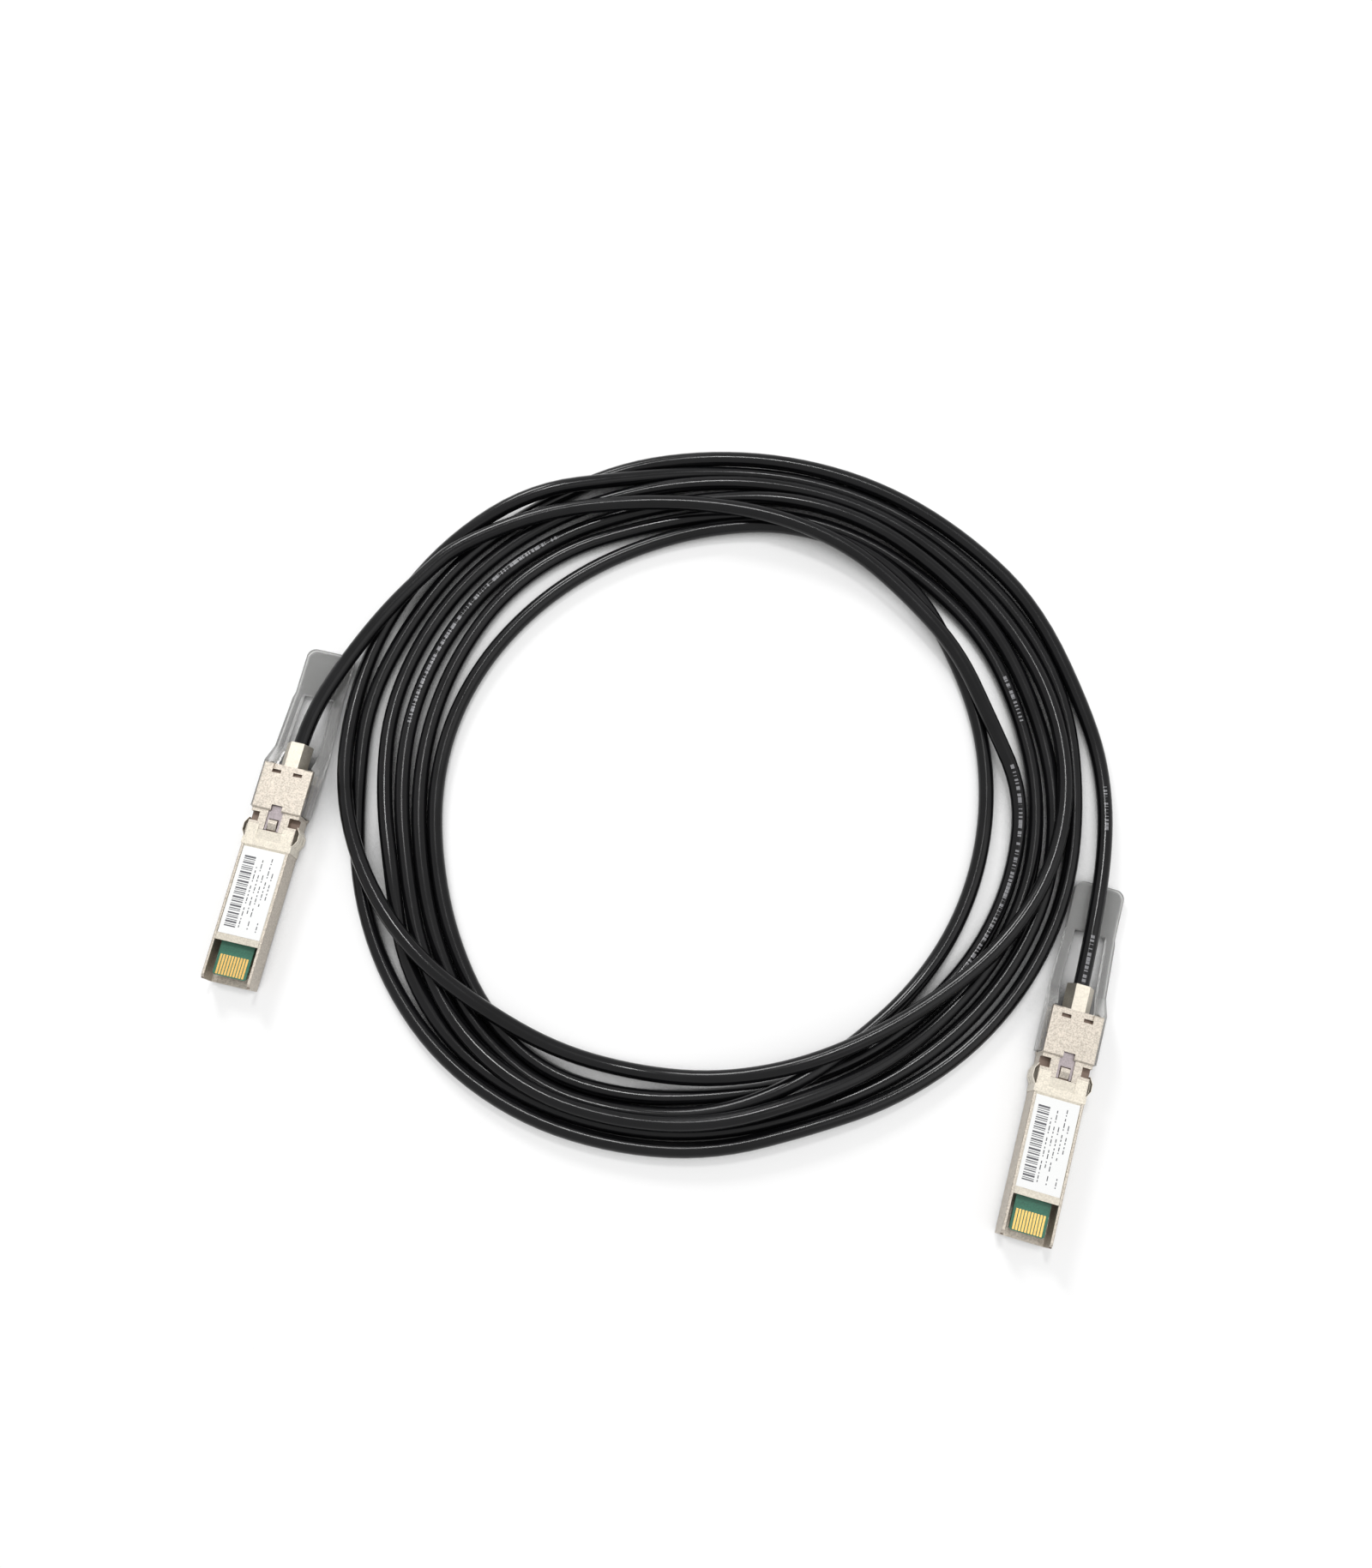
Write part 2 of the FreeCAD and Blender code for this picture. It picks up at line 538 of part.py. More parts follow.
def make_return_springs(name):
    """The two coil springs between the slide's lugs and the ends of their pockets."""
    front = size("wing_start") + size("wing_length") + size("fit_gap")
    back = (size("wing_start") + size("wing_length") - size("slide_gauge") - 2 * size("fit_gap")
            + size("spring_pocket_length"))
    wire = size("coil_wire")
    pitch = (back - front - wire) / size("coil_turns")
    radius = (size("coil_diameter") - wire) / 2
    across = size("wing_width") / 2 - size("slide_gauge") - size("lug_reach") / 2
    level = (size("lug_low") + size("lug_high")) / 2
    springs = []
    for sign in (1, -1):
        path = Part.makeHelix(pitch, pitch * size("coil_turns"), radius)
        ring = Part.Wire(Part.makeCircle(wire / 2, Vector(radius, 0, 0), Vector(0, 1, 0)))
        coil = Part.Wire(path).makePipeShell([ring], True, True)
        coil.rotate(Vector(0, 0, 0), Vector(0, 1, 0), 90)
        coil.translate(Vector(front + wire / 2, sign * across, level))
        springs.append(coil)
    feature = doc.addObject("Part::Feature", name)
    feature.Label = name
    feature.Shape = Part.makeCompound(springs)
    return feature


PLUG_PIECES = [
    ("shell", make_shell), ("latch_cover", make_latch_cover), ("label", make_label),
    ("ground_spring", make_ground_spring), ("paddle_card", make_paddle_card),
    ("contact_pads", make_contact_pads), ("memory_chip", make_memory_chip),
    ("capacitors", make_capacitors),
    ("send_pair", lambda name: make_wire_pair(name, True)),
    ("receive_pair", lambda name: make_wire_pair(name, False)),
    ("conductor_ends", make_conductor_ends), ("crimp_ferrule", make_crimp_ferrule),
    ("delatch_slide", make_delatch_slide), ("return_springs", make_return_springs),
    ("pull_tab", make_pull_tab),
]


# ---------------------------------------------------------------- the cable
def make_coil(name):
    """Outer shape of the loose coil."""
    body = new_body(name)
    drawing = new_sketch(body, "XZ")
    draw_polygon(drawing, [
        ("coil_inner + coil_round", "0"), ("coil_outer - coil_round", "0"),
        ("coil_outer", "coil_round"), ("coil_outer", "coil_height - coil_round"),
        ("coil_outer - coil_round", "coil_height"), ("coil_inner + coil_round", "coil_height"),
        ("coil_inner", "coil_height - coil_round"), ("coil_inner", "coil_round")])
    turn = body.newObject("PartDesign::Revolution", name + "_revolution")
    turn.Profile = drawing
    turn.ReferenceAxis = (drawing, ["V_Axis"])
    turn.Angle = 360
    doc.recompute()
    body.Placement = FreeCAD.Placement(Vector(size("coil_x"), size("coil_y"), 0), FreeCAD.Rotation())
    return body


def tube_along(name, points):
    """Round cable along straight runs joined by tangent arcs."""
    edges = []
    last = points[0]
    length = 0.0
    for before, corner, after in zip(points, points[1:], points[2:]):
        toward = (before - corner).normalize()
        away = (after - corner).normalize()
        turn = math.pi - toward.getAngle(away)
        cut_back = 0.45 * min((before - corner).Length, (after - corner).Length)
        radius = cut_back / math.tan(turn / 2)
        print("%s: turn %.1f deg, radius %.1f mm" % (name, math.degrees(turn), radius))
        start = corner + toward * cut_back
        end = corner + away * cut_back
        bisector = (toward + away).normalize()
        middle = corner + bisector * (radius / math.cos(turn / 2) - radius)
        edges.append(Part.LineSegment(last, start).toShape())
        edges.append(Part.Arc(start, middle, end).toShape())
        length += (start - last).Length + radius * turn
        last = end
    edges.append(Part.LineSegment(last, points[-1]).toShape())
    length += (points[-1] - last).Length
    path = Part.Wire(edges)
    section = Part.Wire(Part.makeCircle(size("cable_diameter") / 2, points[0], points[1] - points[0]))
    tube = path.makePipeShell([section], True, False)
    expected = math.pi * size("cable_diameter") ** 2 / 4 * length
    print("%s: %.1f mm long, volume %.1f of %.1f mm3" % (name, length, tube.Volume, expected))
    if abs(tube.Volume - expected) > 0.01 * expected:
        raise RuntimeError(name + " has the wrong volume")
    feature = doc.addObject("Part::Feature", name)
    feature.Label = name
    feature.Shape = tube
    return feature


def around_coil(bearing, radius, level):
    """A point at a bearing and radius from the coil's centre."""
    turn = math.radians(bearing)
    return Vector(size("coil_x") + radius * math.cos(turn), size("coil_y") + radius * math.sin(turn), level)


def plug_placement(side):
    """Where one plug lies: its pull tab ends a set distance from the coil's rim."""
    rotation = FreeCAD.Rotation(Vector(0, 0, 1), size(side + "_turn_angle"))
    tab_place = around_coil(size(side + "_bearing_angle"), size("coil_outer") + size(side + "_gap"), 0)
    reach = rotation.multVec(Vector(size("tab_end"), 0, 0))
    return FreeCAD.Placement(tab_place - reach, rotation)


def cable_exit(side, along):
    """A point on the plug's cable axis."""
    level = size("head_proud") + size("body_height") / 2
    return plug_placement(side).multVec(Vector(along, 0, level))


def cable_route(side, bends):
    """From inside the plug, out along its axis, then by way of the bends into the coil."""
    diameter = size("cable_diameter")
    points = [cable_exit(side, size("jacket_start")),
              cable_exit(side, size("head_end") + size(side + "_lead"))]
    for bearing, out, level in bends:
        points.append(around_coil(bearing, size("coil_outer") + out * diameter, level * diameter))
    return points


# bends of the two free stretches: bearing from the coil's centre, then distance outside the coil's
# rim and height above the ground, both in cable diameters
LEFT_BENDS = [(160.84, 1.81, 1.45), (150.98, 0.89, 1.83), (142.3, 0.27, 1.95), (135.6, -0.485, 1.48)]
RIGHT_BENDS = [(-9.87, 1.82, 1.1), (0.73, 1.84, 0.74), (10.9, 1.57, 0.522),
               (20.67, 0.78, 0.522), (30.77, -0.277, 0.522), (40.92, -0.984, 0.522)]

nodes = []
for side in ("left", "right"):
    for piece, make in PLUG_PIECES:
        node = make(side + "_" + piece)
        node.Placement = plug_placement(side)
        nodes.append(node)
nodes.append(make_coil("cable_coil"))
nodes.append(tube_along("left_cable_tail", cable_route("left", LEFT_BENDS)))
nodes.append(tube_along("right_cable_tail", cable_route("right", RIGHT_BENDS)))
doc.recompute()

# ---------------------------------------------------------------- checks and files
for item in doc.Objects:
    if "Invalid" in item.State or "Error" in item.State:
        raise RuntimeError("%s did not build: %s" % (item.Name, item.State))
os.makedirs("parts", exist_ok=True)
for node in nodes:
    if node.Shape.isNull() or not node.Shape.isValid():
        raise RuntimeError(node.Label + " has no valid shape")
    node.Shape.exportStep("parts/%s.step" % node.Label)
    print("%-22s %2d solids %10.2f mm3" % (node.Label, len(node.Shape.Solids), node.Shape.Volume))
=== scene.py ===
"""Direct attach copper cable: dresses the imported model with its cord, finishes and printing."""
import json
import math

import bmesh
import bpy
from mathutils import Matrix, Vector


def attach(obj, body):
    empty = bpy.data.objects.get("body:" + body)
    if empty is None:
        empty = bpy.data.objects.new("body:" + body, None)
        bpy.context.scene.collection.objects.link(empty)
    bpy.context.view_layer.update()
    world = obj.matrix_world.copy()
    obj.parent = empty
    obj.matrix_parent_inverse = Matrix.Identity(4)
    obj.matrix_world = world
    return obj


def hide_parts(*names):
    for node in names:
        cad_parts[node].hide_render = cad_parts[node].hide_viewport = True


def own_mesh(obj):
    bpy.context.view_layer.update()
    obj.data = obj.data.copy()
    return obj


bl_info = {
    "name": "Direct Attach Copper Cable",
    "version": (1, 0, 0),
    "blender": (4, 5, 0),
    "location": "View3D > Sidebar > Copper Cable",
    "description": "Lays the coiled cable, finishes both plugs and sets a plain studio round them",
    "category": "Object",
}

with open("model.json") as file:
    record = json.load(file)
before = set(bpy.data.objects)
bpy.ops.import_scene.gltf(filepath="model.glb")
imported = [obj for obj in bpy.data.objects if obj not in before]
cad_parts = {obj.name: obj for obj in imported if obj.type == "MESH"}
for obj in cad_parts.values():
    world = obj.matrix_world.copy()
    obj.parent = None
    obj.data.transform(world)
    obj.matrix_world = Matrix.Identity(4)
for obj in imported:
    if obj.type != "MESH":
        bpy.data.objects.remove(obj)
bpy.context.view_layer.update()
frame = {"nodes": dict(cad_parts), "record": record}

MM = 0.001
SIDES = ("left", "right")
ROOT = "cable_and_plugs"
WHITE = (1.0, 1.0, 1.0, 1.0)
BLACK = (0.0, 0.0, 0.0, 1.0)

# height of the plugs' middle line, and of the cable in the ferrules, in mm
AXIS_LEVEL = 4.85


# ---------------------------------------------------------------- where things are
def plug_matrix(side):
    """From plug axes (X from the nose, Y across, Z up, in mm) to the scene."""
    name = side + "_cage_fit"
    mount = [each for each in frame["record"]["mounts"] if each["name"] == name][0]
    along = -Vector(mount["axis"]).normalized()
    up = Vector((0, 0, 1))
    across = up.cross(along)
    turn = Matrix((along, across, up)).transposed().to_4x4()
    nose = Vector((mount["pos_m"][0], mount["pos_m"][1], 0))
    return Matrix.Translation(nose) @ turn @ Matrix.Scale(MM, 4)


PLUGS = {side: plug_matrix(side) for side in SIDES}


def on_plug(side, along, across, up):
    """A point of the scene from plug coordinates in mm."""
    return PLUGS[side] @ Vector((along, across, up))


# ---------------------------------------------------------------- settings
class CableSettings(bpy.types.PropertyGroup):
    """Sizes and colour of the cable."""

    diameter: bpy.props.FloatProperty(
        name="Diameter", description="Outside diameter of the jacket",
        default=0.0042, min=0.001, unit="LENGTH")
    length: bpy.props.FloatProperty(
        name="Length", description="Length from plug to plug along the middle of the cable",
        default=3.72, min=0.5, unit="LENGTH")
    jacket: bpy.props.FloatVectorProperty(
        name="Jacket", description="Colour of the jacket", subtype="COLOR", size=4,
        default=(0.0035, 0.0035, 0.004, 1.0), min=0.0, max=1.0)
    ink: bpy.props.FloatVectorProperty(
        name="Ink", description="Colour of the dashes printed along the jacket", subtype="COLOR",
        size=4, default=(0.20, 0.20, 0.21, 1.0), min=0.0, max=1.0)


class PlugSettings(bpy.types.PropertyGroup):
    """Colours of the two plugs."""

    casting: bpy.props.FloatVectorProperty(
        name="Casting", description="Colour of the plated housing", subtype="COLOR", size=4,
        default=(0.54, 0.49, 0.425, 1.0), min=0.0, max=1.0)
    sheet: bpy.props.FloatVectorProperty(
        name="Sheet", description="Colour of the stamped steel pieces", subtype="COLOR", size=4,
        default=(0.56, 0.52, 0.445, 1.0), min=0.0, max=1.0)
    tab: bpy.props.FloatVectorProperty(
        name="Pull tab", description="Colour of the moulded pull tab", subtype="COLOR", size=4,
        default=(0.72, 0.72, 0.71, 1.0), min=0.0, max=1.0)
    board: bpy.props.FloatVectorProperty(
        name="Board", description="Colour of the circuit card", subtype="COLOR", size=4,
        default=(0.030, 0.150, 0.095, 1.0), min=0.0, max=1.0)
    label: bpy.props.FloatVectorProperty(
        name="Label", description="Colour of the label's paper", subtype="COLOR", size=4,
        default=(0.80, 0.805, 0.80, 1.0), min=0.0, max=1.0)


class StageSettings(bpy.types.PropertyGroup):
    """Floor, lamps and camera."""

    floor: bpy.props.FloatVectorProperty(
        name="Floor", description="Colour of the floor", subtype="COLOR", size=4,
        default=(0.90, 0.90, 0.90, 1.0), min=0.0, max=1.0)
    floor_lift: bpy.props.FloatProperty(
        name="Floor lift", description="How much of the floor's white doesn't depend on the light",
        default=0.45, min=0.0, max=1.0)
    surroundings: bpy.props.FloatProperty(
        name="Surroundings", description="Light that comes from all round", default=0.6, min=0.0)
    key_power: bpy.props.FloatProperty(
        name="Key lamp", description="Power of the large lamp in watts", default=13.0, min=0.0)
    top_power: bpy.props.FloatProperty(
        name="Top lamp", description="Power of the small overhead lamp in watts",
        default=4.5, min=0.0)
    fill_power: bpy.props.FloatProperty(
        name="Fill lamp", description="Power of the second lamp in watts", default=4.0, min=0.0)
    camera_height: bpy.props.FloatProperty(
        name="Camera height", description="Height of the camera above the floor",
        default=0.4243, min=0.05, unit="LENGTH")
    camera_tilt: bpy.props.FloatProperty(
        name="Camera tilt", description="Tilt of the camera from straight down",
        default=math.radians(14.0), subtype="ANGLE")


# ---------------------------------------------------------------- material helpers
def new_material(name):
    """An empty node tree with a shader and Object coordinates."""
    material = bpy.data.materials.new(name)
    material.use_nodes = True
    tree = material.node_tree
    shader = tree.nodes["Principled BSDF"]
    place = tree.nodes.new("ShaderNodeTexCoord")
    return material, tree, shader, place.outputs["Object"]


def noise(tree, vector, scale, detail=4.0, roughness=0.6):
    """A noise pattern; scale is in features per metre."""
    node = tree.nodes.new("ShaderNodeTexNoise")
    node.inputs["Scale"].default_value = scale
    node.inputs["Detail"].default_value = detail
    node.inputs["Roughness"].default_value = roughness
    tree.links.new(vector, node.inputs["Vector"])
    return node.outputs["Fac"]


def ramp(tree, value, stops, interpolation="LINEAR"):
    """A colour ramp from (position, colour) pairs."""
    node = tree.nodes.new("ShaderNodeValToRGB")
    band = node.color_ramp
    band.interpolation = interpolation
    while len(band.elements) < len(stops):
        band.elements.new(0.5)
    for element, (position, colour) in zip(band.elements, stops):
        element.position = position
        element.color = colour
    tree.links.new(value, node.inputs["Fac"])
    return node.outputs["Color"]


# the values between which a noise pattern mostly stays
NOISE_LOW = 0.3
NOISE_HIGH = 0.7


def spread(tree, value, low, high):
    """A noise pattern's value, brought between two limits."""
    node = tree.nodes.new("ShaderNodeMapRange")
    node.inputs["From Min"].default_value = NOISE_LOW
    node.inputs["From Max"].default_value = NOISE_HIGH
    node.inputs["To Min"].default_value = low
    node.inputs["To Max"].default_value = high
    tree.links.new(value, node.inputs["Value"])
    return node.outputs["Result"]


def bump(tree, shader, height, strength, distance):
    """Fine relief on a shader; distance is its depth in metres."""
    node = tree.nodes.new("ShaderNodeBump")
    node.inputs["Strength"].default_value = strength
    node.inputs["Distance"].default_value = distance
    tree.links.new(height, node.inputs["Height"])
    tree.links.new(node.outputs["Normal"], shader.inputs["Normal"])


def shade(colour, factor):
    """A colour made lighter or darker."""
    return tuple(min(1.0, channel * factor) for channel in colour[:3]) + (1.0,)


def calculate(tree, operation, first, second):
    """One step of arithmetic on a socket; the second value is a socket or a number."""
    node = tree.nodes.new("ShaderNodeMath")
    node.operation = operation
    tree.links.new(first, node.inputs[0])
    if isinstance(second, (int, float)):
        node.inputs[1].default_value = second
    else:
        tree.links.new(second, node.inputs[1])
    return node.outputs[0]


def blend_colours(tree, mode, share, first, second):
    """Two colours mixed; the share and the second colour are sockets or plain values."""
    node = tree.nodes.new("ShaderNodeMix")
    node.data_type = "RGBA"
    node.blend_type = mode
    for index, value in ((0, share), (6, first), (7, second)):
        if isinstance(value, bpy.types.NodeSocket):
            tree.links.new(value, node.inputs[index])
        else:
            node.inputs[index].default_value = value
    return node.outputs[2]


# sizes of the patterns on metal in features per metre, and depths of the relief in metres
CLOUD_SCALE = 900.0
SPECKLE_SCALE = 2400.0
METAL_RELIEF = 0.00008
PLASTIC_RELIEF = 0.00005


def metal(name, colour, rough, grain, relief, contrast=0.10, speckle=0.0):
    """Plated metal: cloudy tone, grain in the gloss, shallow relief and, if asked, a speckle."""
    material, tree, shader, place = new_material(name)
    clouds = noise(tree, place, CLOUD_SCALE)
    tone = ramp(tree, clouds, [(0.25, shade(colour, 1 - contrast)),
                               (0.75, shade(colour, 1 + contrast))])
    if speckle:
        spots = noise(tree, place, SPECKLE_SCALE, detail=2.0)
        dots = ramp(tree, spots, [(0.38, shade(WHITE, 1 - speckle)), (0.58, WHITE)])
        tone = blend_colours(tree, "MULTIPLY", 1.0, tone, dots)
    tree.links.new(tone, shader.inputs["Base Color"])
    fine = noise(tree, place, grain, detail=6.0)
    tree.links.new(spread(tree, fine, rough - 0.06, rough + 0.10), shader.inputs["Roughness"])
    shader.inputs["Metallic"].default_value = 1.0
    bump(tree, shader, fine, relief, METAL_RELIEF)
    return material


def plain_solid(name, colour, rough, grain, relief, contrast=0.08):
    """Plastic, ceramic or paper: even colour with faint mottling and a fine surface."""
    material, tree, shader, place = new_material(name)
    fine = noise(tree, place, grain, detail=5.0)
    tone = ramp(tree, fine, [(NOISE_LOW, shade(colour, 1 - contrast)),
                             (NOISE_HIGH, shade(colour, 1 + contrast))])
    tree.links.new(tone, shader.inputs["Base Color"])
    tree.links.new(spread(tree, fine, rough - 0.05, rough + 0.08), shader.inputs["Roughness"])
    bump(tree, shader, fine, relief, PLASTIC_RELIEF)
    return material


def finish_node(name, material):
    """Give a CAD node its finish."""
    node = frame["nodes"][name]
    if not node.data.materials:
        node.data.materials.append(material)
    for index in range(len(node.data.materials)):
        node.data.materials[index] = material


def mesh_piece(name, shape, body, material):
    """Turn a bmesh into a piece that rides on a body."""
    mesh = bpy.data.meshes.new(name)
    shape.to_mesh(mesh)
    shape.free()
    piece = bpy.data.objects.new(name, mesh)
    bpy.context.scene.collection.objects.link(piece)
    mesh.materials.append(material)
    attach(piece, body)
    return piece


# ---------------------------------------------------------------- the cable
# height of the middle of a strand that lies on the floor, and the coil's centre in plan, in mm
FLOOR_LINE = 2.1
COIL_CENTRE = (11.45, 39.32)

# the coil is followed clockwise, in steps of the bearing from its centre, in degrees
BEARING_STEP = 15
FIRST_BEARING = 180
COIL_START = 135

# radius of each turn in mm at bearings 180, 165, 150 and so on down to -165; the first turn
# starts at 135 and the last one ends at 30
TURNS = (
    (100.2, 93.3, 86.6, 82.9, 81.3, 80.3, 78.4, 79.2, 79.2, 84.9, 85.0, 83.9, 82.3, 82.0, 81.6,
     81.8, 84.8, 87.4, 85.0, 80.4, 77.1),
    (75.7, 74.8, 73.9, 73.4, 73.8, 75.1, 77.6, 81.2, 83.2, 82.8, 79.0, 77.3, 76.0, 75.5, 75.7,
     76.3, 77.6, 82.0, 86.7, 89.1, 91.6, 89.4, 84.8, 81.1),
    (80.1, 80.3, 81.0, 82.3, 82.1, 80.6, 81.8, 84.8, 86.6, 87.2, 88.9, 88.6, 89.6, 89.9, 88.7,
     87.0, 86.4, 86.2, 89.2, 91.3, 93.7, 93.2, 89.4, 85.0),
    (84.8, 86.1, 86.8, 87.5, 86.8, 85.8, 86.3, 88.8, 90.8, 91.3, 93.1, 93.4, 94.6, 95.1, 93.7,
     92.0, 90.6, 89.6, 91.4, 93.4, 95.8, 97.0, 94.3, 88.8),
    (89.5, 92.0, 92.6, 93.0, 92.2, 91.0, 91.2, 92.8, 94.8, 95.5, 97.3, 98.3, 97.4, 93.9, 87.8,
     81.7, 78.6, 77.7, 77.6, 78.1, 80.9, 84.3, 90.6, 96.0),
    (100.6, 102.9, 104.4, 103.8, 100.8, 95.2, 95.2, 96.6, 98.4, 99.6, 101.5, 102.2, 100.3, 100.1,
     98.9, 97.3, 95.0, 93.1, 95.8, 97.6, 99.9, 101.1, 100.2, 98.7),
    (96.7, 98.5, 97.8, 98.6, 97.6, 99.6, 99.3, 100.5, 102.1, 103.8, 106.4),
)

# height in mm of a turn's middle where it rides over another, by turn and bearing
RIDES = {
    0: {135: 7.1, 120: 7.4, 105: 7.7, 90: 8.2, 75: 8.7, 60: 8.1, 45: 7.3, 30: 6.6, 15: 5.8, 0: 4.0},
    1: {90: 3.2, 75: 4.3, 60: 4.6, 45: 3.3, -60: 4.1, -75: 6.8, -90: 4.5, -150: 2.6, -165: 3.0},
    2: {180: 2.6, -60: 5.0, -75: 8.0, -90: 8.3, -105: 7.0, -120: 5.8, -135: 4.5, -150: 4.1,
        -165: 3.9},
    3: {180: 3.3, 165: 2.7, 90: 3.9, 75: 5.7, 60: 5.5, 45: 4.2, 30: 3.0, -150: 3.7, -165: 5.4},
    4: {180: 3.7, 120: 3.0, 105: 4.0, 90: 4.8, 75: 4.5, 60: 4.1, 45: 3.7, 30: 3.4, 15: 4.5, 0: 5.7,
        -15: 6.8, -30: 7.5, -45: 8.2, -60: 8.9, -75: 8.9, -90: 5.5, -120: 4.0, -135: 6.4,
        -150: 8.9, -165: 7.9},
    5: {180: 5.0, 135: 3.8, 120: 7.7, 105: 4.9, -60: 3.2, -75: 4.3, -90: 3.9, -105: 3.5,
        -120: 3.2, -135: 2.8, -150: 2.5},
    6: {90: 3.7, 75: 3.8, 60: 4.0, 45: 3.4, 30: 2.8},
}

# bends of the two free stretches, in mm
LEFT_BENDS = ((-91.3, 75.0, 5.7), (-80.3, 90.2, 6.5), (-69.5, 101.9, 6.8))
RIGHT_BENDS = ((117.3, 59.7, 2.2), (120.4, 40.7, 2.1), (118.7, 20.7, 3.5))

# places along a plug from its nose, in mm: the cable's end in the ferrule, where it comes out of
# the ferrule, and how far straight out of each ferrule it runs
CABLE_END = 66.0
STRAIGHT_TO = {"left": 76.0, "right": 79.0}


def turn_points():
    """Every point of the coil, from the left tail to the right one."""
    # the smooth line runs inside its points, so they lie this much further out than the radius
    spare = 2 / (1 + math.cos(math.radians(BEARING_STEP / 2)) ** 2)
    points = []
    for turn, radii in enumerate(TURNS):
        first = FIRST_BEARING if turn else COIL_START
        for step, radius in enumerate(radii):
            bearing = first - step * BEARING_STEP
            height = RIDES.get(turn, {}).get(bearing, FLOOR_LINE)
            angle = math.radians(bearing)
            points.append(Vector((COIL_CENTRE[0] + spare * radius * math.cos(angle),
                                  COIL_CENTRE[1] + spare * radius * math.sin(angle), height)) * MM)
    return points


def straight_end(side):
    """The cable's straight run out of a plug, from inside its ferrule."""
    return [on_plug(side, along, 0, AXIS_LEVEL) for along in (CABLE_END, STRAIGHT_TO[side])]


def cable_points():
    """The whole route, from inside the left plug to inside the right one."""
    points = straight_end("left")
    points += [Vector(bend) * MM for bend in LEFT_BENDS]
    points += turn_points()
    points += [Vector(bend) * MM for bend in RIGHT_BENDS]
    points += reversed(straight_end("right"))
    return points


# stretches of the jacket that carry print, as shares of the cable's whole length
PRINTED = ((0.0819, 0.0985), (0.3727, 0.3786), (0.4627, 0.4740), (0.4756, 0.4823),
           (0.5627, 0.5656), (0.9820, 0.9865), (0.9935, 0.9975))

# one dash every so many mm; where the row runs and half its width, as shares of the way round
PRINT_PITCH = 1.1
PRINT_TOP = 0.18
PRINT_HALF_BAND = 0.038


def print_mask(tree, settings):
    """Where the dashes are printed: short strokes in one row along the upper side."""
    surface = tree.nodes.new("ShaderNodeUVMap")
    surface.uv_map = "UVMap"
    axes = tree.nodes.new("ShaderNodeSeparateXYZ")
    tree.links.new(surface.outputs["UV"], axes.inputs[0])
    along, around = axes.outputs[0], axes.outputs[1]
    stops = [(0.0, BLACK)]
    for start, end in PRINTED:
        stops += [(start, WHITE), (end, BLACK)]
    stretch = ramp(tree, along, stops, "CONSTANT")
    cells = calculate(tree, "MULTIPLY", along, settings.length / (PRINT_PITCH * MM))
    number = calculate(tree, "FLOOR", cells, 0.0)
    part = calculate(tree, "FRACT", cells, 0.0)
    chance = tree.nodes.new("ShaderNodeTexWhiteNoise")
    chance.noise_dimensions = "1D"
    tree.links.new(number, chance.inputs["W"])
    stroke = calculate(tree, "LESS_THAN", part, chance.outputs["Value"])
    offset = calculate(tree, "ABSOLUTE", calculate(tree, "SUBTRACT", around, PRINT_TOP), 0.0)
    row = calculate(tree, "LESS_THAN", offset, PRINT_HALF_BAND)
    return calculate(tree, "MULTIPLY", calculate(tree, "MULTIPLY", stroke, row), stretch)


JACKET_GRAIN = 1800.0
JACKET_CLOUDS = 60.0


def jacket_material(settings):
    """Black jacket: faint mottling, a fine grain, and dashes of pale print on the upper side."""
    material, tree, shader, place = new_material("jacket")
    fine = noise(tree, place, JACKET_GRAIN, detail=5.0)
    cloud = noise(tree, place, JACKET_CLOUDS, detail=3.0)
    base = ramp(tree, cloud, [(NOISE_LOW, shade(settings.jacket, 0.7)),
                              (NOISE_HIGH, shade(settings.jacket, 1.4))])
    printed = blend_colours(tree, "MIX", print_mask(tree, settings), base, settings.ink)
    tree.links.new(printed, shader.inputs["Base Color"])
    tree.links.new(spread(tree, cloud, 0.14, 0.24), shader.inputs["Roughness"])
    shader.inputs["Specular IOR Level"].default_value = 0.22
    bump(tree, shader, fine, 0.2, PLASTIC_RELIEF)
    return material


class COPPERCABLE_OT_lay_cable(bpy.types.Operator):
    """Lay the black cable from plug to plug in its loose coil"""

    bl_idname = "coppercable.lay_cable"
    bl_label = "Lay Cable"

    def execute(self, context):
        settings = context.scene.cable_settings
        points = cable_points()
        line = bpy.data.curves.new("cable", "CURVE")
        line.dimensions = "3D"
        spline = line.splines.new("NURBS")
        spline.points.add(len(points) - 1)
        for knot, point in zip(spline.points, points):
            knot.co = (*point, 1.0)
        spline.order_u = 3
        spline.use_endpoint_u = True
        line.resolution_u = 6
        line.bevel_depth = settings.diameter / 2
        line.bevel_resolution = 5
        line.use_fill_caps = True
        line.twist_mode = "Z_UP"
        line.materials.append(jacket_material(settings))
        cable = bpy.data.objects.new("cable", line)
        context.scene.collection.objects.link(cable)
        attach(cable, ROOT)
        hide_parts("cable_coil", "left_cable_tail", "right_cable_tail")
        return {"FINISHED"}


# ---------------------------------------------------------------- plugs
# heights between which the floors of the casting's slots and cut-outs lie, and the colour of the
# painted shade put on them
RECESS_LOW = 6.5 * MM
RECESS_HIGH = 8.3 * MM
RECESS_SHADE_TONE = (0.16, 0.12, 0.10, 1.0)


